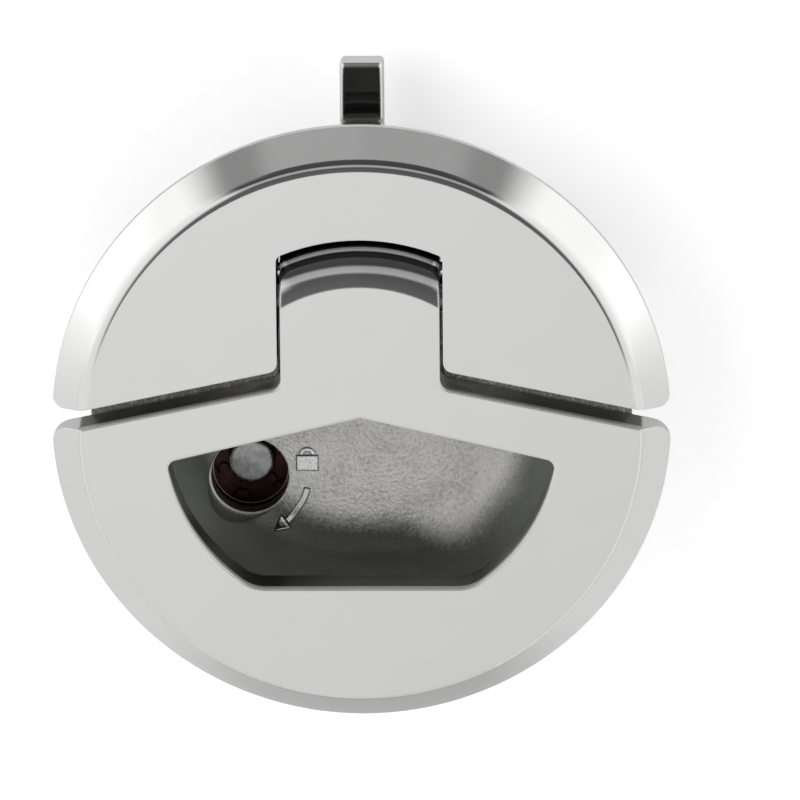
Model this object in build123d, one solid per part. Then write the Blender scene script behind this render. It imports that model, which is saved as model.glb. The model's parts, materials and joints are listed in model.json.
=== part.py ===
from build123d import *
import os
from math import atan, cos, degrees, radians, sin, sqrt, tan

# Flush floorboard lifter, in millimetres. The origin is the centre of the round face on the surface
# of the board, +Z points out of the face, +Y from the finger window towards the fixed half, and the
# handle hinges about a pin parallel to X.

# Fits shared by the pieces, on the radius
running_gap = 0.05
thread_fit = 0.02
shank_fit = 0.15
hole_relief = 0.2
edge_break = 0.3

# Round face
face_diameter = 64.0
bevel_width = 3.05
bevel_height = 3.8
edge_band = 0.6
block_blend = 1.5
handle_blend = 0.3
gasket_thickness = 0.8
gasket_width = 3.4
gasket_gap = 0.1
gasket_end_gap = 0.4

# Fixed half and handle outline
chevron_slope = 0.2114
chevron_peak = 8.62
shoulder_gap = 2.0
notch_half_width = 8.55
notch_arc = 20.9
notch_corner = 0.8
mouth_corner = 1.1
stem_clearance = 0.35
stem_fillet = 1.3
block_end_corner = 0.9
handle_end_corner = 2.2
handle_clearance = 0.4

# Finger window
window_radius = 20.3
window_bottom = 16.9
window_peak = 1.75
window_slope = 0.2385
window_corner = 1.0
window_heel = 4.0

# Housing
body_radius = 27.0
spigot_step = 1.0
spigot_depth = 3.0
wall = 2.2
body_depth = 11.5
deck_thickness = 2.2
block_skin = 2.6
chamber_inset = 1.2

# Finger cup
cup_depth = 7.5
cup_rim_radius = 20.9
cup_floor_radius = 16.5
cup_front = 4.5
cup_draft = 3.0
cup_wall = 2.0
cup_fillet = 4.6

# Hinge
pin_y = 13.5
pin_z = -0.4
pin_radius = 2.0
pin_length = 28.4
pin_end_gap = 0.1
knuckle_flat_end = 15.8
knuckle_reach = 20.4
knuckle_radius = 4.8
cheek_length = 7.9
cheek_half_depth = 5.6
cheek_drop = 4.0
retainer_thickness = 1.6
retainer_inset = 0.1
retainer_corner = 0.8
retainer_tongue = 1.7
retainer_screw_radius = 1.0
retainer_screw_spacing = 7.2
retainer_screw_grip = 4.0
retainer_head_radius = 1.75
retainer_head_height = 1.3

# Handle springs
spring_wire = 0.45
spring_radius = 2.9
spring_turns = 3
spring_pocket_radius = 3.7
spring_pocket_depth = 5.0
spring_leg_grip = 1.5
spring_end_gap = 0.1
spring_slack = 0.5

# Pawl and the tail that carries it
tail_half_width = 7.0
tail_back = 2.0
tail_front = 1.5
tail_depth = 10.0
leg_thickness = 3.0
leg_top = 5.2
leg_waist = 3.6
leg_corner = 1.2
leg_foot = 1.5
finger_half_width = 2.25
finger_height = 6.0
finger_reach = 35.0
finger_slope = 1.1
finger_edge = 0.5
pad_length = 6.4
pad_height = 0.3
board_thickness = 12.0
pawl_screw_radius = 1.5
pawl_screw_spacing = 8.0
pawl_screw_drop = 7.6
pawl_screw_grip = 3.0
pawl_head_radius = 2.75
pawl_head_height = 2.0
pawl_washer_radius = 3.0
pawl_washer_thickness = 0.5

# Key lock
lock_x = -11.9
lock_y = -8.7
keyhole_radius = 4.1
keyhole_relief = 0.2
mouth_step = 0.2
seal_gap = 0.3
barrel_radius = 6.0
boss_radius = 7.4
seal_thickness = 0.6
barrel_length = 8.0
barrel_mouth = 4.4
plug_radius = 5.0
post_radius = 2.5
post_recess = 4.6
post_flutes = 12
flute_radius = 0.3
flute_offset = 0.12
post_round = 0.5
journal_radius = 3.0
lock_pin_count = 7
lock_pin_ring = 3.3
lock_pin_radius = 0.5
lock_pin_length = 1.9
lock_pin_proud = 0.3
lock_spring_length = 1.2
nut_thickness = 1.8
nut_hole_radius = 0.6
nut_hole_depth = 1.2
square_side = 4.0
square_gap = 0.5
square_fit = 0.05
cam_gap = 0.2
cam_thickness = 1.8
cam_half_width = 1.5
cam_reach = 12.6
cam_web = 1.3
cam_web_gap = 0.3
cam_rise = 5.2
cam_hub_radius = 4.6
cam_screw_radius = 1.5
cam_screw_head = 2.8
cam_screw_height = 1.8
cam_washer_radius = 3.4
cam_washer_thickness = 0.6
unlocked_angle = 252.0
cam_screw_grip = 5.0
cam_corner = 0.9

# Lock hook on the handle
hook_x = -22.3
hook_thickness = 1.8
hook_inner = 19.8
hook_outer = 23.8
hook_sweep = 50.0
hook_neck = 1.4
hook_notch_gap = 0.4
hook_slot_gap = 0.3
hook_slot_run = 25.0

# Clamp
clamp_screw_x = 20.5
clamp_y = 4.6
clamp_boss_radius = 3.2
clamp_boss_depth = 18.0
strap_width = 8.0
strap_leg_width = 4.8
strap_shift = 0.4
strap_taper = 1.6
strap_thickness = 1.8
strap_level = 21.0
strap_inside = 27.4
strap_foot = 1.4
strap_bend = 1.0
clamp_screw_radius = 2.0
clamp_hole_radius = 2.2
clamp_screw_grip = 8.0
clamp_head_radius = 3.5
clamp_head_height = 2.6
clamp_washer_radius = 4.0
clamp_washer_thickness = 0.8

# Rubber stops under the handle
stop_radius = 1.8
stop_x = 13.0
stop_y = -21.0
stop_depth = 1.2
stop_gap = 0.1

face_radius = face_diameter / 2
flange_level = gasket_thickness
face_level = flange_level + edge_band + bevel_height
deck_level = flange_level - handle_clearance
deck_underside = deck_level - deck_thickness
cup_underside = -cup_depth - cup_wall
stem_half_width = notch_half_width - stem_clearance
spigot_radius = body_radius + spigot_step
stem_peak = chevron_peak - shoulder_gap
knuckle_blend = knuckle_reach - knuckle_flat_end
cheek_outer = notch_half_width + cheek_length
cheek_level = pin_z - cheek_drop
finger_level = -board_thickness
leg_face = pin_y + tail_front
leg_outer = leg_face + leg_thickness
pawl_screw_level = pin_z - pawl_screw_drop
barrel_top = cup_underside - seal_thickness
barrel_bottom = barrel_top - barrel_length
plug_top = barrel_top - barrel_mouth
post_top = -cup_depth - post_recess
boss_bottom = barrel_bottom - nut_thickness
cam_top = boss_bottom - cam_gap
cam_bottom = cam_top - cam_thickness
cam_tab_top = cam_top + cam_rise + cam_thickness
cam_tab_bottom = cam_tab_top - cam_thickness
far = 60.0


def tube(outer, inner, low, high, x=0.0, y=0.0):
    """Ring standing on Z between two levels."""
    ring = Circle(outer) - Circle(inner)
    return Pos(x, y, low) * extrude(ring, high - low)


def rod(radius, low, high, x=0.0, y=0.0):
    return Pos(x, y, low) * extrude(Circle(radius), high - low)


def block(x0, x1, y0, y1, z0, z1):
    centre = Pos((x0 + x1) / 2, (y0 + y1) / 2, (z0 + z1) / 2)
    return centre * Box(x1 - x0, y1 - y0, z1 - z0)


def rod_along_x(radius, x0, x1, y, z):
    return Pos((x0 + x1) / 2, y, z) * Rot(0, 90, 0) * Cylinder(radius, x1 - x0)


def rod_along_y(radius, y0, y1, x, z):
    return Pos(x, (y0 + y1) / 2, z) * Rot(90, 0, 0) * Cylinder(radius, y1 - y0)


def above_chevron(peak):
    """Plane region above the two sloping shoulder lines."""
    low = peak - far * chevron_slope
    return make_face(Polyline((-far, low), (0, peak), (far, low), (far, far), (-far, far), close=True))


def below_chevron(peak, slope):
    low = peak - far * slope
    return make_face(Polyline((-far, low), (0, peak), (far, low), (far, -far), (-far, -far), close=True))


def near(vertices, x, y, reach=0.5):
    """The corners of a flat outline that lie close to (x, y) or its mirror image."""
    return [v for v in vertices if abs(abs(v.X) - x) < reach and abs(v.Y - y) < reach]


def disc_envelope(blend, underside):
    """Bevelled round disc of the face, with the blend where the bevel meets the flat."""
    flat_end = face_radius - bevel_width
    rim = face_radius
    profile = Polyline((0, underside), (rim, underside), (rim, flange_level + edge_band),
                       (flat_end, face_level), (0, face_level), close=True)
    section = make_face(profile)
    corner = section.vertices().filter_by(lambda v: abs(v.X - flat_end) < 0.01)
    section = fillet(corner, blend)
    return revolve(Plane.XZ * section, Axis.Z)


def rim_crossing(radius, peak, slope):
    """Where a chevron line meets a circle about the origin, on the +X side."""
    a = 1 + slope ** 2
    b = -2 * peak * slope
    c = peak ** 2 - radius ** 2
    x = (-b + sqrt(b ** 2 - 4 * a * c)) / (2 * a)
    return x, peak - slope * x


def notch_outline():
    notch = Rectangle(2 * notch_half_width, far, align=(Align.CENTER, Align.MIN)) & Circle(notch_arc)
    corner_y = sqrt(notch_arc ** 2 - notch_half_width ** 2)
    return fillet(near(notch.vertices(), notch_half_width, corner_y), notch_corner)


def block_outline():
    """Plan of the fixed half: a D with the notch for the handle's stem."""
    outline = (Circle(face_radius) & above_chevron(chevron_peak)) - notch_outline()
    mouth = near(outline.vertices(), notch_half_width, chevron_peak - notch_half_width * chevron_slope)
    outline = fillet(mouth, mouth_corner)
    ends = near(outline.vertices(), *rim_crossing(face_radius, chevron_peak, chevron_slope))
    return fillet(ends, block_end_corner)


def window_outline():
    """Plan of the finger window: a D with a low gable on its upper side."""
    window = Circle(window_radius) & below_chevron(window_peak, window_slope)
    window = window & Pos(0, -window_bottom) * Rectangle(far, far, align=(Align.CENTER, Align.MIN))
    top = near(window.vertices(), *rim_crossing(window_radius, window_peak, window_slope))
    window = fillet(top, window_corner)
    heel_x = sqrt(window_radius ** 2 - window_bottom ** 2)
    return fillet(near(window.vertices(), heel_x, -window_bottom), window_heel)


def handle_outline():
    """Plan of the handle: the other half of the disc, its stem and its window."""
    plate = Circle(face_radius) & below_chevron(stem_peak, chevron_slope)
    ends = near(plate.vertices(), *rim_crossing(face_radius, stem_peak, chevron_slope))
    plate = fillet(ends, handle_end_corner)
    stem = Rectangle(2 * stem_half_width, far, align=(Align.CENTER, Align.MIN)) & Circle(knuckle_reach)
    plate = plate + stem
    root = near(plate.vertices(), stem_half_width, stem_peak - stem_half_width * chevron_slope)
    return fillet(root, stem_fillet) - window_outline()


def cup_form(spread, top):
    """The cup's hollow up to a level, or its outer skin when spread by the wall."""
    bottom = -cup_depth - spread
    side_slope = (cup_rim_radius - cup_floor_radius) / (deck_level + cup_depth)
    end_slope = tan(radians(cup_draft))
    low = cup_floor_radius + spread
    high = low + side_slope * (top - bottom)
    side = make_face(Polyline((0, bottom), (low, bottom), (high, top), (0, top), close=True))
    side = fillet([v for v in side.vertices() if v.X > 1 and v.Y < bottom + 0.01], cup_fillet + spread)
    cone = revolve(Plane.XZ * side, Axis.Z)
    edge = cup_front + spread + end_slope * (top - deck_level)
    foot = edge - end_slope * (top - bottom)
    end = make_face(Polyline((edge, top), (foot, bottom), (-far, bottom), (-far, top), close=True))
    end = fillet([v for v in end.vertices() if v.X > -1 and v.Y < bottom + 0.01], cup_fillet + spread)
    plane = Plane(origin=(-far, 0, 0), x_dir=(0, 1, 0), z_dir=(1, 0, 0))
    front = extrude(plane * end, 2 * far)
    lean = degrees(atan(chevron_slope))
    return cone & (Rot(0, 0, lean) * front) & (Rot(0, 0, -lean) * front)


def hook_band(inner, outer, x0, x1, start, end):
    """Sector of a ring about the hinge pin, from the handle's underside downwards and forwards."""
    steps = [start + (end - start) * i / 4 for i in range(5)]

    def at(radius, angle):
        return -radius * cos(radians(angle)), -radius * sin(radians(angle))

    outer_arc = ThreePointArc(at(outer, steps[0]), at(outer, steps[2]), at(outer, steps[4]))
    inner_arc = ThreePointArc(at(inner, steps[4]), at(inner, steps[2]), at(inner, steps[0]))
    ends = [Line(outer_arc @ 1, inner_arc @ 0), Line(inner_arc @ 1, outer_arc @ 0)]
    face = make_face([outer_arc, ends[0], inner_arc, ends[1]])
    plane = Plane(origin=(x0, pin_y, pin_z), x_dir=(0, 1, 0), z_dir=(1, 0, 0))
    return extrude(plane * face, x1 - x0)


def cheeks():
    """Two blocks beside the notch that carry the pin in saddles open to the rear."""
    outer = block(-cheek_outer, cheek_outer, pin_y - cheek_half_depth, pin_y + cheek_half_depth,
                  cheek_level, face_level - block_skin + 0.01)
    inner = block(-notch_half_width, notch_half_width, -far, far, -far, far)
    return outer - inner


def saddle_cut():
    half = pin_length / 2 + pin_end_gap
    radius = pin_radius + running_gap
    seat = rod_along_x(radius, -half, half, pin_y, pin_z)
    throat = block(-half, half, pin_y - radius, pin_y + radius, cheek_level - 1, pin_z)
    return seat + throat


def retainer_places():
    x = retainer_centre()
    y = retainer_screw_spacing / 2
    return [(side * x, pin_y + end * y) for side in (-1, 1) for end in (-1, 1)]


def retainer_centre():
    return (notch_half_width + pin_length / 2) / 2


def retainer_width():
    return pin_length / 2 - notch_half_width - 4 * retainer_inset


def make_housing():
    spigot = rod(spigot_radius, -spigot_depth, deck_level)
    body = rod(body_radius, -body_depth, deck_level) + spigot
    inside = rod(body_radius - wall, -body_depth - 1, deck_underside)
    shell = body - inside
    d_block = extrude(block_outline(), face_level + 1) & disc_envelope(block_blend, -1)
    overhang = tube(face_radius + 1, spigot_radius, -2, flange_level)
    below = rod(spigot_radius + 1, -2, deck_underside + 0.01)
    d_block = d_block - overhang - below
    shell = shell + d_block + cup_form(cup_wall, deck_level)
    shell = shell + rod(boss_radius, boss_bottom, -cup_depth - 0.5, lock_x, lock_y)
    for x in (-clamp_screw_x, clamp_screw_x):
        shell = shell + rod(clamp_boss_radius, -clamp_boss_depth, deck_level - 0.5, x, clamp_y)
    core = extrude(block_core(), face_level - block_skin - deck_underside + 1)
    shell = shell - Pos(0, 0, deck_underside - 1) * core
    shell = shell + cheeks() - saddle_cut()
    shell = shell - extrude(notch_outline(), 2 * face_level) - stem_chamber() - cup_form(0, deck_level + 1)
    shell = shell - lock_bore() - hook_slot()
    return shell - housing_holes()


def block_core():
    """Plan of the pocket cored out of the fixed half from the rear."""
    inset = wall
    core = Circle(body_radius - wall) & above_chevron(chevron_peak + inset)
    keep = Rectangle(2 * notch_half_width + 2 * wall, far)
    return core - keep


def stem_chamber():
    """Clear space below the notch for the knuckle, the tail and the pawl."""
    back = pin_y - cheek_half_depth
    front = body_radius - wall - chamber_inset
    return block(-notch_half_width, notch_half_width, back, front, -far, face_level - block_skin)


def lock_bore():
    mouth = rod(keyhole_radius, cup_underside - 1, -cup_depth, lock_x, lock_y)
    mouth = mouth + rod(keyhole_radius + keyhole_relief, -cup_depth, 0, lock_x, lock_y)
    pocket = rod(barrel_radius + running_gap, boss_bottom - 1, cup_underside, lock_x, lock_y)
    return mouth + pocket


def hook_slot():
    gap = hook_slot_gap
    half = hook_thickness / 2 + gap
    return hook_band(hook_inner - gap, hook_outer + gap, hook_x - half, hook_x + half, -hook_slot_run,
                     hook_sweep + hook_slot_run)


def housing_holes():
    """Tapped holes for the screws, spring holes and the pockets of the rubber stops."""
    holes = []
    for x, y in retainer_places():
        holes.append(rod(retainer_screw_radius + thread_fit, cheek_level - 1,
                         cheek_level + retainer_screw_grip + hole_relief, x, y))
    for side in (-1, 1):
        holes.append(rod(clamp_screw_radius + thread_fit, -clamp_boss_depth - 1,
                         -clamp_boss_depth + clamp_screw_grip + hole_relief, side * clamp_screw_x, clamp_y))
        holes.append(rod(stop_radius, deck_level - stop_depth, deck_level + 1, side * stop_x, stop_y))
        end = notch_half_width + spring_leg_grip + hole_relief
        x0, x1 = sorted((side * (notch_half_width - 1), side * end))
        holes.append(rod_along_x(spring_wire + running_gap, x0, x1, pin_y + spring_radius, pin_z))
    return Compound(children=holes)


def make_gasket():
    inner = spigot_radius + gasket_gap
    ring = Circle(inner + gasket_width) - Circle(inner)
    return extrude(ring & above_chevron(chevron_peak + gasket_end_gap), gasket_thickness)


def make_handle():
    plate = Pos(0, 0, flange_level) * extrude(handle_outline(), face_level)
    plate = plate & disc_envelope(handle_blend, flange_level)
    knuckle = rod_along_x(knuckle_radius, -stem_half_width, stem_half_width, pin_y, pin_z)
    root = block(-stem_half_width, stem_half_width, pin_y - knuckle_radius, knuckle_reach, pin_z, face_level)
    tail = block(-tail_half_width, tail_half_width, pin_y - tail_back, leg_face,
                 pin_z - tail_depth, pin_z)
    handle = (plate + root) & stem_envelope()
    handle = handle + knuckle + tail
    return handle - handle_holes()


def stem_envelope():
    """Everything inside the round of the stem's end, which follows the disc's own circle."""
    low = -far
    corner = face_level - knuckle_blend
    arc = ThreePointArc((knuckle_reach, corner),
                        (knuckle_flat_end + knuckle_blend * sin(radians(45)),
                         corner + knuckle_blend * cos(radians(45))),
                        (knuckle_flat_end, face_level))
    side = Polyline((0, face_level), (0, low), (knuckle_reach, low), (knuckle_reach, corner))
    top = Line((knuckle_flat_end, face_level), (0, face_level))
    end = revolve(Plane.XZ * make_face([side, arc, top]), Axis.Z)
    return end + block(-far, far, -far, stem_peak, low, far)


def make_hook():
    """Arc-shaped plate welded under the handle, which the lock's cam holds down."""
    half = hook_thickness / 2
    band = hook_band(hook_inner, hook_outer, hook_x - half, hook_x + half, -hook_slot_run, hook_sweep)
    above = block(-far, far, -far, far, flange_level, far)
    return band - above - hook_notch()


def hook_notch():
    """Mouth in the hook that the lock's cam turns into."""
    low, high = cam_tab_bottom - hook_notch_gap, cam_tab_top + hook_notch_gap
    reach = pin_y - sqrt(hook_inner ** 2 - (high - pin_z) ** 2) - hook_neck
    return block(hook_x - hook_thickness, hook_x + hook_thickness, -far, reach, low, high)


def handle_holes():
    """Pin bore, spring pockets and their end holes, and the tapped holes of the pawl's screws."""
    bore = rod_along_x(pin_radius + running_gap, -far, far, pin_y, pin_z)
    holes = [bore]
    floor = stem_half_width - spring_pocket_depth
    for side in (-1, 1):
        x0, x1 = sorted((side * floor, side * (stem_half_width + 1)))
        holes.append(rod_along_x(spring_pocket_radius, x0, x1, pin_y, pin_z))
        x0, x1 = sorted((side * (floor - spring_leg_grip), side * floor))
        holes.append(rod_along_x(spring_wire + running_gap, x0, x1, pin_y - spring_radius, pin_z))
        holes.append(rod_along_y(pawl_screw_radius + thread_fit, leg_face - pawl_screw_grip - hole_relief,
                                 leg_face + 1, side * pawl_screw_spacing / 2, pawl_screw_level))
    return Compound(children=holes)


def make_pin():
    pin = rod_along_x(pin_radius, -pin_length / 2, pin_length / 2, pin_y, pin_z)
    return chamfer(pin.edges().filter_by(GeomType.CIRCLE), edge_break)


def make_retainer(side):
    """Plate that closes one saddle, with a tongue that reaches up to the pin."""
    width = retainer_width()
    x = side * retainer_centre()
    depth = 2 * (cheek_half_depth - retainer_inset)
    plate = Pos(x, pin_y, cheek_level - retainer_thickness / 2) * Box(width, depth, retainer_thickness)
    plate = fillet(plate.edges().filter_by(Axis.Z), retainer_corner)
    tongue = block(x - width / 2, x + width / 2, pin_y - retainer_tongue, pin_y + retainer_tongue,
                   cheek_level - retainer_thickness / 2, pin_z)
    plate = plate + tongue - rod_along_x(pin_radius + thread_fit, -far, far, pin_y, pin_z)
    for hole_x, hole_y in retainer_places():
        plate = plate - rod(retainer_screw_radius + shank_fit, -far, far, hole_x, hole_y)
    return plate


def pan_screw(shank, length, head, height):
    """Screw standing on Z with its thread upwards and the underside of its head at 0."""
    screw = rod(shank, 0, length) + rod(head, -height, 0)
    rim = screw.edges().filter_by(GeomType.CIRCLE).sort_by(Axis.Z)[0]
    screw = fillet(rim, 0.35 * height)
    socket = extrude(RegularPolygon(0.55 * head, 6), 0.6 * height)
    return screw - Pos(0, 0, -height) * socket


def make_retainer_screws():
    level = cheek_level - retainer_thickness
    screw = pan_screw(retainer_screw_radius, retainer_thickness + retainer_screw_grip,
                      retainer_head_radius, retainer_head_height)
    return Compound(children=[Pos(x, y, level) * screw for x, y in retainer_places()])


def make_spring(side):
    """Torsion spring round the pin: one end in the handle, the other in the housing's cheek."""
    turns = spring_turns + 0.5
    inner = stem_half_width - spring_pocket_depth + spring_wire + spring_end_gap
    height = spring_pocket_depth - 2 * spring_wire - spring_slack
    pitch = height / turns
    helix = Helix(pitch, height, spring_radius)
    section = Plane(origin=helix @ 0, z_dir=helix % 0) * Circle(spring_wire)
    coil = sweep(section, path=helix, is_frenet=True)
    leg = height / 2
    start = Pos(spring_radius, 0, 0) * Sphere(spring_wire) + rod(spring_wire, -leg, 0, spring_radius, 0)
    stop = (Pos(-spring_radius, 0, height) * Sphere(spring_wire)
            + rod(spring_wire, height, height + leg, -spring_radius, 0))
    spring = Rot(0, 0, 180) * (coil + start + stop)
    spring = Plane(origin=(inner, pin_y, pin_z), x_dir=(0, 1, 0), z_dir=(1, 0, 0)) * spring
    return spring if side > 0 else mirror(spring, Plane.YZ)


def make_pawl():
    """Leg that bolts to the tail, and the finger that hooks under the frame."""
    half = tail_half_width
    top = pin_z - leg_top
    low = finger_level - finger_height
    shoulder = pawl_screw_level - leg_waist
    leg = make_face(Polyline((-half, top), (half, top), (half, shoulder), (finger_half_width, low + leg_foot),
                             (finger_half_width, low), (-finger_half_width, low),
                             (-finger_half_width, low + leg_foot), (-half, shoulder), close=True))
    leg = fillet(near(leg.vertices(), half, top), leg_corner)
    leg = fillet(near(leg.vertices(), half, shoulder), leg_corner)
    leg = Pos(0, leg_face, 0) * extrude(Plane.XZ * leg, -leg_thickness)
    inner = finger_level - pad_height
    pad = finger_reach - pad_length
    side = make_face(Polyline((leg_face, inner), (pad - pad_height, inner), (pad, finger_level),
                              (finger_reach, finger_level), (finger_reach - finger_slope, low),
                              (leg_face, low), close=True))
    plane = Plane(origin=(-finger_half_width, 0, 0), x_dir=(0, 1, 0), z_dir=(1, 0, 0))
    finger = extrude(plane * side, 2 * finger_half_width)
    long_edges = finger.edges().filter_by(lambda e: e.center().Y > leg_outer)
    finger = fillet(long_edges, finger_edge)
    pawl = leg + finger
    for place in (-1, 1):
        pawl = pawl - rod_along_y(pawl_screw_radius + shank_fit, -far, far,
                                  place * pawl_screw_spacing / 2, pawl_screw_level)
    return pawl


def pawl_pair(piece):
    """Two copies of an upright piece, turned to point into the tail from the washers' outer faces."""
    turned = Pos(0, leg_outer + pawl_washer_thickness, pawl_screw_level) * Rot(90, 0, 0) * piece
    return Compound(children=[Pos(place * pawl_screw_spacing / 2) * turned for place in (-1, 1)])


def make_pawl_screws():
    length = pawl_washer_thickness + leg_thickness + pawl_screw_grip
    screw = pan_screw(pawl_screw_radius, length, pawl_head_radius, pawl_head_height)
    return pawl_pair(screw)


def make_pawl_washers():
    return pawl_pair(tube(pawl_washer_radius, pawl_screw_radius + shank_fit, 0, pawl_washer_thickness))


def make_barrel():
    outer = rod(barrel_radius, barrel_bottom, barrel_top)
    outer = chamfer(outer.edges().filter_by(GeomType.CIRCLE), edge_break)
    outer = outer - rod(keyhole_radius - mouth_step, plug_top - 1, 0)
    outer = outer - rod(plug_radius + running_gap, barrel_bottom - 1, plug_top)
    return Pos(lock_x, lock_y) * outer


def make_plug():
    """Turning core: a fluted centre post, the flange that holds the pins, a journal and a square."""
    flange = rod(plug_radius, barrel_bottom + running_gap, plug_top - running_gap)
    post = rod(post_radius, plug_top - 1, post_top)
    post = fillet(post.edges().filter_by(GeomType.CIRCLE).sort_by(Axis.Z)[-1], post_round)
    flute = rod(flute_radius, plug_top, 0, post_radius + flute_offset, 0)
    for i in range(post_flutes):
        post = post - Rot(0, 0, i * 360 / post_flutes) * flute
    journal = rod(journal_radius, cam_top, barrel_bottom + 1)
    half = square_side / 2
    square = block(-half, half, -half, half, cam_bottom + square_gap, cam_top + 1)
    square = Rot(0, 0, unlocked_angle) * (square & rod(journal_radius, -far, far))
    core = flange + post + journal + square
    depth = lock_pin_length - lock_pin_proud + lock_spring_length
    for i in range(lock_pin_count):
        core = core - pin_place(i) * rod(lock_pin_radius + running_gap, plug_top - depth, plug_top + 1)
    end = cam_bottom + cam_screw_grip + hole_relief
    core = core - rod(cam_screw_radius + thread_fit, cam_bottom - 1, end)
    return Pos(lock_x, lock_y) * core


def pin_place(i):
    return Rot(0, 0, i * 360 / lock_pin_count) * Pos(lock_pin_ring, 0, 0)


def make_lock_pins():
    top = plug_top + lock_pin_proud
    pin = rod(lock_pin_radius, top - lock_pin_length, top)
    return Pos(lock_x, lock_y) * Compound(children=[pin_place(i) * pin for i in range(lock_pin_count)])


def make_lock_springs():
    top = plug_top + lock_pin_proud - lock_pin_length
    sleeve = tube(lock_pin_radius, lock_pin_radius / 2, top - lock_spring_length, top)
    return Pos(lock_x, lock_y) * Compound(children=[pin_place(i) * sleeve for i in range(lock_pin_count)])


def make_seal():
    outer = barrel_radius - running_gap
    return tube(outer, keyhole_radius + seal_gap, barrel_top, cup_underside, lock_x, lock_y)


def make_barrel_nut():
    nut = tube(barrel_radius, journal_radius + running_gap, boss_bottom, barrel_bottom)
    for angle in (45, 225):
        nut = nut - Rot(0, 0, angle) * rod(nut_hole_radius, boss_bottom - 1, boss_bottom + nut_hole_depth,
                                          (barrel_radius + journal_radius) / 2)
    return Pos(lock_x, lock_y) * nut


def make_cam():
    """Cranked cam: hub on the square, arm, and a tab that turns into the handle's hook."""
    web_inner = boss_radius + cam_web_gap
    web_outer = web_inner + cam_web
    profile = Polyline((0, cam_bottom), (web_outer, cam_bottom), (web_outer, cam_tab_bottom),
                       (cam_reach, cam_tab_bottom), (cam_reach, cam_tab_top), (web_inner, cam_tab_top),
                       (web_inner, cam_top), (0, cam_top), close=True)
    arm = Pos(0, cam_half_width, 0) * extrude(Plane.XZ * make_face(profile), 2 * cam_half_width)
    arm = fillet(arm.edges().filter_by(Axis.Z).group_by(Axis.X)[-1], cam_corner)
    cam = arm + rod(cam_hub_radius, cam_bottom, cam_top)
    side = square_side + 2 * square_fit
    cam = cam - Pos(0, 0, cam_top) * Box(side, side, far)
    return Pos(lock_x, lock_y) * Rot(0, 0, unlocked_angle) * cam


def make_cam_washer():
    low = cam_bottom - cam_washer_thickness
    return tube(cam_washer_radius, cam_screw_radius + shank_fit, low, cam_bottom, lock_x, lock_y)


def make_cam_screw():
    length = cam_washer_thickness + cam_screw_grip
    screw = pan_screw(cam_screw_radius, length, cam_screw_head, cam_screw_height)
    return Pos(lock_x, lock_y, cam_bottom - cam_washer_thickness) * screw


def make_bridge():
    """Stamped strap behind the body, with two turned feet that bear on the back of the board."""
    level, foot = -strap_level, -board_thickness
    bottom, sole = level - strap_thickness, foot - strap_thickness
    inner, outer = strap_inside, strap_inside + strap_thickness
    toe = outer + strap_foot
    right = [(inner, level), (inner, foot), (toe, foot), (toe, sole), (outer, sole), (outer, bottom)]
    left = [(-x, z) for x, z in reversed(right)]
    outline = make_face(Polyline(*right, *left, close=True))
    outline = fillet(near(outline.vertices(), outer, bottom), strap_bend + strap_thickness)
    outline = fillet(near(outline.vertices(), inner, level), strap_bend)
    low = clamp_y - strap_width / 2 - strap_shift
    high, leg = low + strap_width, low + strap_leg_width
    shoulder = clamp_screw_x + clamp_washer_radius
    plan = make_face(Polyline((-toe, low), (toe, low), (toe, leg), (shoulder + strap_taper, leg),
                              (shoulder, high), (-shoulder, high), (-shoulder - strap_taper, leg),
                              (-toe, leg), close=True))
    strap = Pos(0, high, 0) * extrude(Plane.XZ * outline, strap_width)
    strap = strap & Pos(0, 0, -far) * extrude(plan, far)
    for side in (-1, 1):
        strap = strap - rod(clamp_hole_radius, -far, far, side * clamp_screw_x, clamp_y)
    return strap


def make_clamp_screws():
    seat = -strap_level - strap_thickness - clamp_washer_thickness
    length = -clamp_boss_depth + clamp_screw_grip - seat
    screw = pan_screw(clamp_screw_radius, length, clamp_head_radius, clamp_head_height)
    return Compound(children=[Pos(side * clamp_screw_x, clamp_y, seat) * screw for side in (-1, 1)])


def make_clamp_washers():
    top = -strap_level - strap_thickness
    washer = tube(clamp_washer_radius, clamp_hole_radius, top - clamp_washer_thickness, top)
    return Compound(children=[Pos(side * clamp_screw_x, clamp_y, 0) * washer for side in (-1, 1)])


def make_stops():
    stop = rod(stop_radius, deck_level - stop_depth, flange_level - stop_gap)
    stop = fillet(stop.edges().filter_by(GeomType.CIRCLE).sort_by(Axis.Z)[-1], edge_break)
    return Compound(children=[Pos(side * stop_x, stop_y, 0) * stop for side in (-1, 1)])


pieces = {
    "housing": make_housing(),
    "flange_gasket": make_gasket(),
    "handle": make_handle(),
    "lock_hook": make_hook(),
    "hinge_pin": make_pin(),
    "pin_retainer_left": make_retainer(-1),
    "pin_retainer_right": make_retainer(1),
    "retainer_screws": make_retainer_screws(),
    "handle_spring_left": make_spring(-1),
    "handle_spring_right": make_spring(1),
    "pawl": make_pawl(),
    "pawl_screws": make_pawl_screws(),
    "pawl_washers": make_pawl_washers(),
    "lock_barrel": make_barrel(),
    "lock_plug": make_plug(),
    "lock_pins": make_lock_pins(),
    "lock_pin_springs": make_lock_springs(),
    "lock_seal": make_seal(),
    "barrel_nut": make_barrel_nut(),
    "lock_cam": make_cam(),
    "cam_washer": make_cam_washer(),
    "cam_screw": make_cam_screw(),
    "clamp_bridge": make_bridge(),
    "clamp_screws": make_clamp_screws(),
    "clamp_washers": make_clamp_washers(),
    "handle_stops": make_stops(),
}

os.makedirs("parts", exist_ok=True)
for name, shape in pieces.items():
    export_step(shape, f"parts/{name}.step")
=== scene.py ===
import json
import math

import bmesh
import bpy
from mathutils import Matrix, Vector
from mathutils.bvhtree import BVHTree


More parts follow.
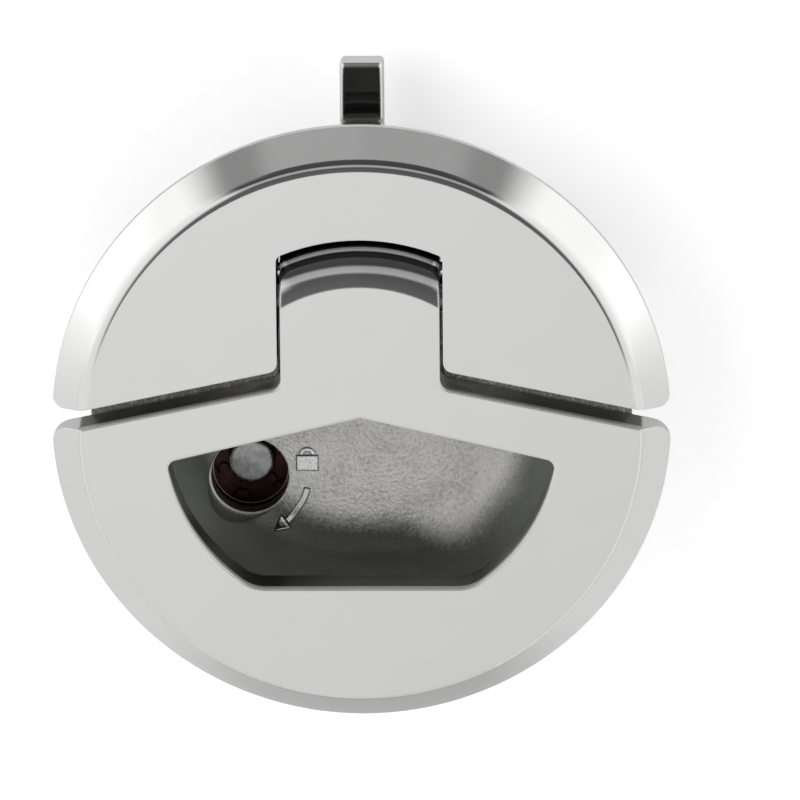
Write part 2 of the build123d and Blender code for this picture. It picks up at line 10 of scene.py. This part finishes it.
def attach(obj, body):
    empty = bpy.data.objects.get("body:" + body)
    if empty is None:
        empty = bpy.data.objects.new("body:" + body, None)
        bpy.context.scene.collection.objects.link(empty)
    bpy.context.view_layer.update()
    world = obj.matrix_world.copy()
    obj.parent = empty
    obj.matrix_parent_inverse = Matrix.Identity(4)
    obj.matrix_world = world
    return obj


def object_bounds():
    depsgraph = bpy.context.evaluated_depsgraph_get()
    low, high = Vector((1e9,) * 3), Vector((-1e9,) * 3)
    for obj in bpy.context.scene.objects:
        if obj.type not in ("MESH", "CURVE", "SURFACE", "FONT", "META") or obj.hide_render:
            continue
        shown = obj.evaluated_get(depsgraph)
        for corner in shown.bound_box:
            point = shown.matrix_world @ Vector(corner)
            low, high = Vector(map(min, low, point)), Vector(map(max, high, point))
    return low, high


scene = bpy.context.scene
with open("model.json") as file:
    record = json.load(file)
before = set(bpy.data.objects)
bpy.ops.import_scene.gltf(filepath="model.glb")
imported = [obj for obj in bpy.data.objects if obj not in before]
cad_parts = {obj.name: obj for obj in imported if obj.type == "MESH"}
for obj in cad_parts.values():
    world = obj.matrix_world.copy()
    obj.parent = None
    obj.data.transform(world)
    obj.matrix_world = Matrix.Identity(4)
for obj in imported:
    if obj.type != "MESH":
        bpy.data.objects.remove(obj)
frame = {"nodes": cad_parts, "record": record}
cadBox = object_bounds()
mm = 0.001
print("frame loaded:", len(frame["nodes"]), "nodes")


class Wire:
    # An output socket that can be used in sums, with node() for everything else

    def __init__(self, tree, socket):
        self.tree = tree
        self.socket = socket

    def node(self, kind, inputs=None, output=0, **settings):
        made = self.tree.nodes.new(kind)
        for name, value in settings.items():
            setattr(made, name, value)
        for key, value in (inputs or {}).items():
            if isinstance(value, Wire):
                self.tree.links.new(value.socket, made.inputs[key])
            else:
                made.inputs[key].default_value = value
        return Wire(self.tree, made.outputs[output])

    def maths(self, operation, *others):
        values = dict(enumerate((self,) + others))
        return self.node("ShaderNodeMath", values, operation=operation)

    def __add__(self, other):
        return self.maths("ADD", other)

    def __radd__(self, other):
        return self.maths("ADD", other)

    def __sub__(self, other):
        return self.maths("SUBTRACT", other)

    def __rsub__(self, other):
        return self.maths("MULTIPLY_ADD", -1.0, other)

    def __mul__(self, other):
        return self.maths("MULTIPLY", other)

    def __rmul__(self, other):
        return self.maths("MULTIPLY", other)

    def __truediv__(self, other):
        return self.maths("DIVIDE", other)

    def __rtruediv__(self, other):
        return self.maths("POWER", -1.0) * other

    def __pow__(self, other):
        return self.maths("POWER", other)

    def __abs__(self):
        return self.maths("ABSOLUTE")

    def larger(self, other):
        return self.maths("MAXIMUM", other)

    def rise(self, low, high):
        # 0 below low, 1 above high, smooth between them, or the other way round if low is larger
        span = {"Value": self, "From Min": low, "From Max": high}
        return self.node("ShaderNodeMapRange", span, interpolation_type="SMOOTHSTEP")

    def axes(self):
        parts = self.node("ShaderNodeSeparateXYZ", {0: self}).socket.node
        return [Wire(self.tree, socket) for socket in parts.outputs]

    def grain(self, size, detail=2.0, roughness=0.5):
        # Noise whose patches are about size millimetres across
        return self.node("ShaderNodeTexNoise", {"Vector": self, "Scale": 1.0 / size,
                                                "Detail": detail, "Roughness": roughness})

    def colours(self, *stops):
        # Colour ramp through pairs of a place and a colour
        ramp = self.node("ShaderNodeValToRGB", {"Fac": self})
        elements = ramp.socket.node.color_ramp.elements
        while len(elements) < len(stops):
            elements.new(0.5)
        for element, (place, colour) in zip(elements, stops):
            element.position = place
            element.color = grey(colour)
        return ramp

    def blend(self, first, second):
        # The first colour where self is 0, the second where it is 1
        return self.node("ShaderNodeMix", {"Factor": self, 6: first, 7: second}, output=2,
                         data_type="RGBA")

    def times(self, tint):
        return self.node("ShaderNodeMix", {"Factor": 1.0, 6: self, 7: tint}, output=2,
                         data_type="RGBA", blend_type="MULTIPLY")

    def mixed(self, factor, other):
        # This normal where the factor is 0, the other where it is 1
        return self.node("ShaderNodeMix", {"Factor": factor, 4: self, 5: other}, output=1,
                         data_type="VECTOR")


def grey(colour):
    if isinstance(colour, float):
        colour = (colour, colour, colour)
    return (*colour, 1.0)


def newMaterial(name):
    # The material, its shader and Object coordinates in millimetres
    material = bpy.data.materials.new(name)
    material.use_nodes = True
    tree = material.node_tree
    shader = tree.nodes["Principled BSDF"]
    start = Wire(tree, shader.outputs[0])
    place = start.node("ShaderNodeTexCoord", output=3)
    point = start.node("ShaderNodeVectorMath", {0: place, "Scale": 1 / mm}, operation="SCALE")
    return material, shader, point


def feed(shader, **values):
    # Constants go on the shader's own sockets and textures are linked to them
    tree = shader.id_data
    for key, value in values.items():
        socket = shader.inputs[key.replace("_", " ")]
        if isinstance(value, Wire):
            tree.links.new(value.socket, socket)
        elif isinstance(value, tuple):
            socket.default_value = (*value, 1.0)
        else:
            socket.default_value = value


def outward(point):
    # Upward part of the surface normal
    return point.node("ShaderNodeTexCoord", output=1).axes()[2]


def softEdge(point, radius):
    # Normal that turns the corners of a machined or cast edge into a narrow highlight
    return point.node("ShaderNodeBevel", {"Radius": radius * mm}, samples=6)


def bump(point, height, depth, under):
    # Relief of the given depth in millimetres
    return point.node("ShaderNodeBump", {"Height": height, "Distance": depth * mm,
                                         "Strength": 1.0, "Normal": under})


def turnedEdge(point, under, turn):
    # 1 on the corners that softEdge turns, 0 on flat ground
    flat = point.node("ShaderNodeNewGeometry", output=1)
    likeness = under.node("ShaderNodeVectorMath", {0: under, 1: flat}, output=1,
                          operation="DOT_PRODUCT")
    return likeness.rise(*turn)


def crevice(point, reach):
    # 0 in tight corners, 1 in the open
    return point.node("ShaderNodeAmbientOcclusion", {"Distance": reach * mm}, output=1, samples=6)


# Camera at the photograph's angle: degrees, metres from the part, pixels to a millimetre, the
# picture's middle in millimetres from the part's own, and the height of that middle
view = {"tilt": 18.17, "swing": 1.1, "roll": 0.46, "distance": 1.0, "scale": 9.707,
        "right": 4.06, "up": 3.53, "level": 5.2, "sensor": 36.0, "pixels": 800}


def addCamera():
    tilt, swing = math.radians(view["tilt"]), math.radians(view["swing"])
    out = Vector((math.sin(swing), math.cos(swing) * math.sin(tilt),
                  math.cos(swing) * math.cos(tilt)))
    right = Vector((0, 1, 0)).cross(out).normalized()
    up = out.cross(right)
    turn = Matrix.Rotation(math.radians(-view["roll"]), 3, out)
    right, up = turn @ right, turn @ up
    aim = Vector((0, 0, view["level"] * mm)) + right * view["right"] * mm + up * view["up"] * mm
    data = bpy.data.cameras.new("camera")
    data.sensor_width = view["sensor"]
    data.lens = view["scale"] * view["sensor"] * view["distance"] / mm / view["pixels"]
    data.clip_start = 0.01
    camera = bpy.data.objects.new("camera", data)
    turned = Matrix((right, up, out)).transposed().to_4x4()
    camera.matrix_world = Matrix.Translation(aim + out * view["distance"]) @ turned
    scene.collection.objects.link(camera)
    scene.camera = camera


# Studio round the part. Brightness goes "along" the angle from straight above towards +Y. The
# soft boxes at both sides and their dark border go by the angle across it, towards X
sky = {
    "along": [(-180, 0.8), (-40, 0.74), (-21, 0.76), (-19, 0.81), (-17.4, 0.85), (-15, 0.88),
              (-12.5, 0.14), (20, 0.1), (24, 0.5), (38, 0.42), (42, 0.06), (70, 0.08),
              (78, 0.42), (95, 0.46), (180, 0.85)],
    "fallFrom": (-0.05, 0.02), "fall": 0.07,
    "side": (35, 50), "behind": (98, 86), "sideTop": (0.95, 0.7), "dimming": (0.2, 0.65),
    "lamp": 1.2, "lampTop": 1.0,
    "border": (22, 31), "borderTop": (0.5, 0.3), "borderTone": 0.3,
    "flankFrom": (0.24, 0.42), "flankBase": (0.0, 0.1), "flank": 0.9,
}


def addWorld():
    world = bpy.data.worlds.new("studio")
    world.use_nodes = True
    scene.world = world
    tree = world.node_tree
    background = tree.nodes["Background"]
    start = Wire(tree, background.outputs[0])
    x, y, z = start.node("ShaderNodeTexCoord", output=0).axes()
    lean = y.maths("ARCTAN2", z) / math.tau + 0.5
    along = lean.colours(*[(0.5 + angle / 360, tone) for angle, tone in sky["along"]])
    fall = x.rise(*sky["fallFrom"]).blend(grey(1.0), grey(1.0 - sky["fall"]))
    across = abs(x).maths("ARCTAN2", y) / math.pi
    beside, behind, edge = ([angle / 180 for angle in sky[key]]
                            for key in ("side", "behind", "border"))
    beside = across.rise(*beside)
    lamp = z.rise(*sky["dimming"]).blend(grey(sky["lamp"]), grey(sky["lampTop"]))
    box = beside * across.rise(*behind) * z.rise(*sky["sideTop"])
    flank = z.rise(*sky["flankBase"]) * abs(x).rise(*sky["flankFrom"]) * beside
    border = across.rise(*edge) * (1.0 - beside) * z.rise(*sky["borderTop"])
    colour = border.blend(along.times(fall), grey(sky["borderTone"]))
    colour = box.blend(flank.blend(colour, grey(sky["flank"])), lamp)
    # White where the camera looks past the floor
    seen = start.node("ShaderNodeLightPath")
    tree.links.new(seen.blend(colour, grey(1.0)).socket, background.inputs["Color"])


# Soft lamps that the steel doesn't mirror: place and size in metres, power in watts
lamps = {"key": {"place": (-0.35, 0.25, 0.7), "size": 0.5, "power": 2.0},
         "fill": {"place": (0.5, -0.3, 0.6), "size": 0.6, "power": 1.2}}


def addLamp(name, place, size, power):
    data = bpy.data.lights.new(name, "AREA")
    data.shape = "DISK"
    data.size = size
    data.energy = power
    lamp = bpy.data.objects.new(name, data)
    lamp.location = place
    lamp.rotation_euler = (-Vector(place)).to_track_quat("-Z", "Y").to_euler()
    lamp.visible_glossy = False
    scene.collection.objects.link(lamp)


# Paper floor, its size in metres and the rest in millimetres. Where the steel mirrors the floor, it
# has a painted bright glow and a painted shadow on it, which the camera doesn't see
paper = {"size": 3.0, "fibre": 0.4, "tones": [(0.3, 0.78), (0.7, 0.82)], "rough": 0.9,
         "glow": 0.45}
paintedGlow = {"aside": (60.0, 150.0), "back": (-50.0, 80.0), "glow": 0.6}
shadow = {"front": (-60.0, -85.0), "aside": (60.0, 20.0), "tone": 0.4}


def paperMaterial():
    material, shader, point = newMaterial("floor_paper")
    tree = material.node_tree
    path = point.node("ShaderNodeLightPath").socket.node
    seen, mirrored = (Wire(tree, path.outputs[ray]) for ray in ("Is Camera Ray", "Is Glossy Ray"))
    x, y = point.axes()[:2]
    lit = abs(x).rise(*paintedGlow["aside"]) * y.rise(*paintedGlow["back"])
    dim = y.rise(*shadow["front"]) * abs(x).rise(*shadow["aside"])
    # Painted glow and painted shadow on the floor, seen only in the steel's reflections
    glow = (lit * mirrored).blend(grey(0.0), grey(paintedGlow["glow"]))
    fibre = point.grain(paper["fibre"], 3.0).colours(*paper["tones"])
    feed(shader, Base_Color=(dim * mirrored).blend(fibre, grey(shadow["tone"])),
         Roughness=paper["rough"], Emission_Color=seen.blend(glow, grey(paper["glow"])),
         Emission_Strength=1.0)
    # Clear from below, so that the underside can be looked at
    back = point.node("ShaderNodeNewGeometry", output=6)
    clear = point.node("ShaderNodeBsdfTransparent")
    both = back.node("ShaderNodeMixShader", {0: back, 1: Wire(tree, shader.outputs[0]), 2: clear})
    tree.links.new(both.socket, tree.nodes["Material Output"].inputs["Surface"])
    return material


def addFloor(level):
    shape = bmesh.new()
    bmesh.ops.create_grid(shape, x_segments=2, y_segments=2, size=paper["size"])
    bmesh.ops.translate(shape, verts=shape.verts, vec=(0, 0, level))
    mesh = bpy.data.meshes.new("floor")
    shape.to_mesh(mesh)
    shape.free()
    floor = bpy.data.objects.new("floor", mesh)
    scene.collection.objects.link(floor)
    mesh.materials.append(paperMaterial())


# Finishes below: every pair of numbers is where a finish starts and where it is full, by place in
# millimetres or, as "tilt", by how far a surface looks up. Lists are ramps of place and colour

# Polished handle and pawl, with painted shade in its corners, satin inner walls of the handle
# painted dark as painted shade, and its edges painted light and matt as a painted highlight
mirror = {"tone": (0.78, 0.78, 0.775), "corner": [(0.0, (0.4, 0.37, 0.34)), (0.75, 1.0)],
          "shadeReach": 0.8, "rough": [(0.35, 0.045), (0.7, 0.075)], "edge": 0.35,
          "wave": 9.0, "relief": 0.02}
satinAndShade = {"back": (15.5, 15.0), "radius": (29.2, 28.8), "tilt": (0.8, 0.5), "under": (-1.5, -1.0),
         "haze": 2.5, "front": (0.09, 0.095, 0.085), "rough": 0.3,
         "sideFront": (-16.6, -14.0), "sideBack": (1.5, -3.0),
         "side": [(0.3, (0.3, 0.31, 0.28)), (0.7, (0.38, 0.39, 0.36))],
         "gapFrom": (2.5, 4.5), "gap": [(0.35, 0.45), (0.65, 0.7)]}
edgeHighlight = {"tone": (0.6, 0.59, 0.56), "metal": 0.3, "rough": 0.45, "turn": (0.9, 0.78),
          "lip": (4.2, 4.4)}


def polishedSteel():
    material, shader, point = newMaterial("mirror_steel")
    x, y, z = point.axes()
    radius = (x * x + y * y) ** 0.5
    steep = abs(outward(point)).rise(*satinAndShade["tilt"])
    inner = (y.rise(*satinAndShade["back"]) * radius.rise(*satinAndShade["radius"]) * steep
             * z.rise(*satinAndShade["under"]))
    haze = point.grain(satinAndShade["haze"], 3.0)
    # Inner walls painted dark, darkest at the front and lightest in the gap: painted shade
    side = y.rise(*satinAndShade["sideFront"]) * y.rise(*satinAndShade["sideBack"])
    wall = side.blend(grey(satinAndShade["front"]), haze.colours(*satinAndShade["side"]))
    wall = y.rise(*satinAndShade["gapFrom"]).blend(wall, haze.colours(*satinAndShade["gap"]))
    # Painted shade: darker and browner in tight corners
    corner = crevice(point, mirror["shadeReach"]).colours(*mirror["corner"])
    tone = inner.blend(grey(mirror["tone"]), wall).times(corner)
    rough = inner.blend(haze.colours(*mirror["rough"]), grey(satinAndShade["rough"]))
    under = softEdge(point, mirror["edge"])
    # Edges and the lip of the inner walls painted light and less metallic: a painted highlight
    highlighted = turnedEdge(point, under, edgeHighlight["turn"]).larger(inner * z.rise(*edgeHighlight["lip"]))
    feed(shader, Base_Color=highlighted.blend(tone, grey(edgeHighlight["tone"])),
         Metallic=highlighted.blend(grey(1.0), grey(edgeHighlight["metal"])),
         Roughness=highlighted.blend(rough, grey(edgeHighlight["rough"])),
         Normal=bump(point, point.grain(mirror["wave"], 1.0), mirror["relief"], under))
    return material


# The casting: its skin, polished face, inner walls of the notch, bed of the gap and finger cup
# Skin of the casting, painted darker and browner in tight corners as a painted shade
skin = {"edge": 0.15, "grain": 0.28, "cloud": 4.0, "mix": (0.4, 0.6), "relief": 0.07, "rough": 0.42,
        "tones": [(0.35, (0.25, 0.247, 0.24)), (0.65, (0.34, 0.336, 0.325))],
        "creviceShade": [(0.0, (0.16, 0.12, 0.09)), (0.6, 1.0)], "creviceShadeReach": 1.2}
topFace = {"level": (0.75, 0.95), "tilt": (0.1, 0.3), "rim": (28.2, 28.6),
           "fine": 0.12, "rough": [(0.35, 0.05), (0.7, 0.08)]}
# Inner walls painted near black as a painted shade; in the notch, a light band about 3 to 4 mm up
innerWallShade = {"level": (0.45, 0.55), "tilt": (0.3, 0.1), "radius": (28.2, 27.8), "tone": 0.05,
              "notchSide": (9.6, 9.4), "notchBack": (9.0, 9.2), "notchLow": (-4.0, -3.8),
              "tall": 10.0, "bright": [(0.0, 0.03), (0.3, 0.03), (0.32, 0.95), (0.37, 0.95),
                                       (0.39, 0.03)]}
# Bed of the gap, painted lighter than the skin to make up for its shade, with bright specks as
# painted glints
gapBed = {"low": (0.3, 0.35), "high": (0.75, 0.6), "tilt": (0.5, 0.8), "back": (-1.0, 1.0),
          "rough": 0.28, "metal": 0.5,
          "tones": [(0.4, (0.4, 0.395, 0.38)), (0.58, (0.6, 0.59, 0.57)),
                    (0.64, (0.98, 0.97, 0.95))]}
# Finger cup: its walls painted dark, darker still towards the front, as painted shade
fingerCup = {"level": (0.3, 0.2), "radius": (22.2, 21.6), "tilt": (-0.12, -0.05),
             "wallFront": (-9.0, -16.0), "wall": (0.31, 0.325, 0.295),
             "wallLow": (0.17, 0.175, 0.16), "wallCloud": [(0.3, 0.85), (0.7, 1.0)],
             "wallRough": 0.42, "wallRelief": 0.03}
# Floor of the cup, blasted and painted bright, near white: partly its own light finish, partly
# painted light. It reaches further out on the right
cupFloor = {"right": (2.0, 11.0), "further": 3.6, "radius": (17.6, 14.4), "blasted": (18.5, 15.0),
            "cloud": 1.5, "ragged": 2.6, "sand": 0.4, "fine": 0.3, "relief": 0.3,
            "mix": (0.65, 0.35), "tones": [(0.36, (0.72, 0.71, 0.69)), (0.54, (1.0, 0.99, 0.97))],
            "rough": 0.2, "metal": 0.55}
# Keyhole with its ledge painted light as a painted highlight, its wall where it cuts the cup's
# foot, and the bore below painted dark as a painted shade
keyhole = {"centre": (-11.9, -8.7), "floor": -7.5, "radiusSquared": (18.6, 18.3),
           "mouth": (0.0, -0.5), "cut": (-7.47, -7.44), "below": (-7.53, -7.56),
           "ledgeHighlightTone": (0.85, 0.85, 0.83), "cutTone": (0.42, 0.44, 0.4),
           "boreShadeTone": (0.12, 0.09, 0.08)}


def castSteel():
    material, shader, point = newMaterial("cast_steel")
    x, y, z = point.axes()
    radius = (x * x + y * y) ** 0.5
    upward = outward(point)

    face = z.rise(*topFace["level"]) * upward.rise(*topFace["tilt"]).larger(
        radius.rise(*topFace["rim"]))
    cup = (z.rise(*fingerCup["level"]) * radius.rise(*fingerCup["radius"])
           * upward.rise(*fingerCup["tilt"]))
    notch = (abs(x).rise(*innerWallShade["notchSide"]) * y.rise(*innerWallShade["notchBack"])
             * z.rise(*innerWallShade["notchLow"]))
    wall = (z.rise(*innerWallShade["level"]).larger(notch) * upward.rise(*innerWallShade["tilt"])
            * radius.rise(*innerWallShade["radius"]))
    bed = (z.rise(*gapBed["low"]) * z.rise(*gapBed["high"]) * upward.rise(*gapBed["tilt"])
           * y.rise(*gapBed["back"]))

    coarse = point.grain(skin["grain"], 3.0, 0.6)
    cloud = point.grain(skin["cloud"], 2.0)
    fine = point.grain(topFace["fine"], 2.0)
    sand = point.grain(cupFloor["sand"], 3.0, 0.65)
    reach = radius - x.rise(*cupFloor["right"]) * cupFloor["further"]
    ragged = cloud * cupFloor["cloud"] + sand * cupFloor["ragged"]
    floor = (reach + ragged).rise(*cupFloor["radius"])
    sandPart, cloudPart = cupFloor["mix"]
    # Floor of the cup painted bright: partly painted light
    floorTone = (sand * sandPart + cloud * cloudPart).colours(*cupFloor["tones"])
    # Cup walls painted dark as painted shade, darker towards the front
    wallTone = y.rise(*fingerCup["wallFront"]).blend(grey(fingerCup["wall"]),
                                                     grey(fingerCup["wallLow"]))
    wallTone = wallTone.times(cloud.colours(*fingerCup["wallCloud"]))
    grainPart, hazePart = skin["mix"]
    skinTone = (coarse * grainPart + cloud * hazePart).colours(*skin["tones"])
    # Bed of the gap painted lighter, with bright specks as painted glints
    skinTone = bed.blend(skinTone, coarse.colours(*gapBed["tones"]))
    tone = cup.blend(skinTone, floor.blend(wallTone, floorTone))
    tone = face.blend(tone, grey(mirror["tone"]))
    # Inner walls painted near black as a painted shade, with a light band in the notch
    bright = (z / innerWallShade["tall"]).colours(*innerWallShade["bright"])
    tone = wall.blend(tone, notch.blend(grey(innerWallShade["tone"]), bright))

    dx, dy = x - keyhole["centre"][0], y - keyhole["centre"][1]
    hole = (dx * dx + dy * dy).rise(*keyhole["radiusSquared"]) * z.rise(*keyhole["mouth"])
    # Painted highlight on the ledge, painted shade in the bore below
    below = z.rise(*keyhole["below"])
    ledge = z.rise(*keyhole["cut"]).blend(grey(keyhole["ledgeHighlightTone"]), grey(keyhole["cutTone"]))
    tone = hole.blend(tone, below.blend(ledge, grey(keyhole["boreShadeTone"])))
    # Painted shade, darker and browner in tight corners, except on the bed of the gap and in the
    # keyhole
    creviceShade = crevice(point, skin["creviceShadeReach"]).colours(*skin["creviceShade"])
    unshaded = bed.larger(hole * (1.0 - below))
    tone = tone.times(unshaded.blend(creviceShade, grey(1.0)))

    skinRough = bed.blend(grey(skin["rough"]), grey(gapBed["rough"]))
    cupRough = floor.blend(grey(fingerCup["wallRough"]), grey(cupFloor["rough"]))
    rough = face.blend(cup.blend(skinRough, cupRough), fine.colours(*topFace["rough"]))
    metal = bed.blend(grey(1.0), grey(gapBed["metal"]))
    metal = (floor * cup).blend(metal, grey(cupFloor["metal"]))

    under = softEdge(point, skin["edge"])
    skinRelief = bump(point, coarse, skin["relief"], under)
    floorRelief = bump(point, sand + fine * cupFloor["fine"], cupFloor["relief"], under)
    wallRelief = bump(point, sand, fingerCup["wallRelief"], under)
    faceRelief = bump(point, point.grain(mirror["wave"], 1.0), mirror["relief"], under)
    cupRelief = wallRelief.mixed(reach.rise(*cupFloor["blasted"]), floorRelief)
    relief = skinRelief.mixed(cup, cupRelief).mixed(face.larger(wall), faceRelief)
    feed(shader, Base_Color=tone, Metallic=metal, Roughness=rough, Normal=relief)
    return material


# Ground or turned steel of the small parts, with painted shade darkening its corners
plain = {
    "turned_steel": {"tone": (0.62, 0.62, 0.61), "rough": 0.28, "edge": 0.08},
    "plate_steel": {"tone": (0.58, 0.58, 0.57), "rough": 0.36, "edge": 0.12},
    "screw_steel": {"tone": (0.66, 0.66, 0.65), "rough": 0.22, "edge": 0.08},
    "spring_steel": {"tone": (0.5, 0.5, 0.5), "rough": 0.3, "edge": 0.03},
    "barrel_steel": {"tone": (0.36, 0.28, 0.255), "rough": 0.2, "edge": 0.08},
}
ground = {"grain": 0.25, "relief": 0.006, "corner": 0.35, "shadeReach": 0.6, "speck": 0.1,
          "dull": 1.25, "shiny": 0.8}


def plainSteel(name, tone, rough, edge):
    material, shader, point = newMaterial(name)
    fine = point.grain(ground["grain"], 3.0)
    specks = 1 - ground["speck"] + fine * ground["speck"]
    # Painted shade in the corners, with random specks
    shadeAndSpecks = crevice(point, ground["shadeReach"]) * specks
    corner = tuple(ground["corner"] * part for part in tone)
    feed(shader, Base_Color=shadeAndSpecks.colours((0.1, corner), (0.85, tone)), Metallic=1.0,
         Roughness=fine.colours((0.3, rough * ground["shiny"]), (0.7, rough * ground["dull"])),
         Normal=bump(point, fine, ground["relief"], softEdge(point, edge)))
    return material


# Lock core: bright on top of the post, painted dark down in the keyway as a painted shade
core = {"top": (-12.9, -12.5), "streak": 0.9, "keywayShade": (0.09, 0.05, 0.045), "edge": 0.08,
        "bright": [(0.35, (0.35, 0.36, 0.36)), (0.65, (0.8, 0.81, 0.81))],
        "rough": [(0.3, 0.25), (0.7, 0.4)], "relief": 0.02}


def lockSteel():
    material, shader, point = newMaterial("lock_core")
    streak = point.grain(core["streak"], 3.0)
    top = point.axes()[2].rise(*core["top"])
    feed(shader, Base_Color=top.blend(grey(core["keywayShade"]), streak.colours(*core["bright"])),
         Metallic=1.0, Roughness=streak.colours(*core["rough"]),
         Normal=bump(point, streak, core["relief"], softEdge(point, core["edge"])))
    return material


rubber = {"grain": 0.3, "dust": 3.0, "rough": [(0.3, 0.6), (0.7, 0.8)], "relief": 0.01,
          "edge": 0.1, "tones": [(0.35, (0.018, 0.018, 0.018)), (0.7, (0.045, 0.044, 0.042))]}


def blackRubber():
    material, shader, point = newMaterial("rubber")
    fine = point.grain(rubber["grain"], 3.0)
    dust = point.grain(rubber["dust"], 2.0)
    feed(shader, Base_Color=dust.colours(*rubber["tones"]),
         Roughness=fine.colours(*rubber["rough"]),
         Normal=bump(point, fine, rubber["relief"], softEdge(point, rubber["edge"])))
    return material


looks = {name: plainSteel(name, **finish) for name, finish in plain.items()}
looks["cast_steel"] = castSteel()
looks["mirror_steel"] = polishedSteel()
looks["lock_core"] = lockSteel()
looks["rubber"] = blackRubber()
for part in frame["record"]["subparts"]:
    mesh = frame["nodes"][part["node"]].data
    mesh.materials.clear()
    mesh.materials.append(looks[part["material_slot"]])
frame["nodes"]["lock_barrel"].data.materials[0] = looks["barrel_steel"]
print("materials:", len(looks))


# Raised marks beside the keyhole, a turning arrow and a padlock, in millimetres and degrees
mark = {"radius": 6.15, "width": 0.66, "from": -13.0, "to": -52.0, "steps": 14, "head": 1.5,
        "spread": 1.8, "headCuts": 3, "sunk": 0.1, "height": 0.22, "skirt": 0.12,
        "top": (0.8, 0.95), "side": (0.035, 0.035, 0.033), "bright": [(0.3, 0.75), (0.7, 0.95)],
        "sideRough": 0.6, "rough": 0.25, "grain": 0.2, "relief": 0.02, "edge": 0.03}
padlock = {"angle": 13.0, "width": 2.3, "height": 1.7, "bow": 0.85, "wire": 0.45, "steps": 12}


def markSteel():
    # Bright on top, with the sides painted dark as a painted shade outline
    material, shader, point = newMaterial("mark_steel")
    fine = point.grain(mark["grain"], 3.0)
    top = outward(point).rise(*mark["top"])
    feed(shader, Base_Color=top.blend(grey(mark["side"]), fine.colours(*mark["bright"])),
         Metallic=1.0, Roughness=top.blend(grey(mark["sideRough"]), grey(mark["rough"])),
         Normal=bump(point, fine, mark["relief"], softEdge(point, mark["edge"])))
    return material


def around(radius, angle):
    # Place at a radius and an angle round the keyhole
    angle = math.radians(angle)
    cx, cy = keyhole["centre"]
    return Vector(((cx + radius * math.cos(angle)) * mm, (cy + radius * math.sin(angle)) * mm,
                   (keyhole["floor"] - mark["sunk"]) * mm))


def ribbon(shape, ends, centre, turn, steps):
    # Flat strip that a short edge leaves as it is spun
    verts = [shape.verts.new(end) for end in ends]
    edge = shape.edges.new(verts)
    bmesh.ops.spin(shape, geom=verts + [edge], cent=centre, axis=(0, 0, 1),
                   angle=math.radians(turn), steps=steps)


def drawArrow(shape):
    radius, half, spread = mark["radius"], mark["width"] / 2, mark["spread"] / 2
    first, last = mark["from"], mark["to"]
    ends = [around(radius - half, first), around(radius + half, first)]
    ribbon(shape, ends, around(0, 0), last - first, mark["steps"])
    tip = last - math.degrees(mark["head"] / radius)
    corners = [around(radius - spread, last), around(radius + spread, last), around(radius, tip)]
    head = shape.faces.new([shape.verts.new(corner) for corner in corners])
    bmesh.ops.subdivide_edges(shape, edges=head.edges[:], cuts=mark["headCuts"],
                              use_grid_fill=True)


def drawPadlock(shape):
    middle = around(mark["radius"], padlock["angle"])
    halfWidth, halfHeight = padlock["width"] * mm / 2, padlock["height"] * mm / 2
    size = Matrix.Translation(middle) @ Matrix.Diagonal((halfWidth, halfHeight, 1, 1))
    bmesh.ops.create_grid(shape, x_segments=1, y_segments=1, size=1.0, matrix=size)
    top = middle + Vector((0, halfHeight, 0))
    bow, wire = padlock["bow"] * mm, padlock["wire"] * mm
    ends = [top + Vector((bow - wire, 0, 0)), top + Vector((bow, 0, 0))]
    ribbon(shape, ends, top, 180, padlock["steps"])


def layOnHousing(shape):
    # Drops the flat drawing on the cup, a little into its metal
    casting = bmesh.new()
    casting.from_mesh(frame["nodes"]["housing"].data)
    metal = BVHTree.FromBMesh(casting)
    casting.free()
    for vert in shape.verts:
        place = metal.ray_cast(Vector((vert.co.x, vert.co.y, 0.0)), Vector((0, 0, -1)))[0]
        vert.co.z = place.z - mark["sunk"] * mm


def addMarks():
    shape = bmesh.new()
    drawArrow(shape)
    drawPadlock(shape)
    layOnHousing(shape)
    made = bmesh.ops.extrude_face_region(shape, geom=shape.faces[:])["geom"]
    raised = [item for item in made if isinstance(item, bmesh.types.BMFace)]
    lifted = [item for item in made if isinstance(item, bmesh.types.BMVert)]
    rise = Vector((0, 0, (mark["sunk"] + mark["height"]) * mm))
    bmesh.ops.translate(shape, verts=lifted, vec=rise)
    rim = {edge for face in raised for edge in face.edges
           if any(side not in raised for side in edge.link_faces)}
    bmesh.ops.recalc_face_normals(shape, faces=shape.faces)
    bmesh.ops.bevel(shape, geom=list(rim), affect="EDGES", offset=mark["skirt"] * mm,
                    segments=2, profile=0.5, material=-1)
    mesh = bpy.data.meshes.new("turn_mark")
    shape.to_mesh(mesh)
    shape.free()
    piece = bpy.data.objects.new("turn_mark", mesh)
    scene.collection.objects.link(piece)
    mesh.materials.append(markSteel())
    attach(piece, "frame")


addMarks()
print("marks added")

addCamera()
addWorld()
addFloor(cadBox[0][2])
for name, lamp in lamps.items():
    addLamp(name, **lamp)
scene.view_settings.view_transform = "Standard"
print("camera, world, floor and lamps added")
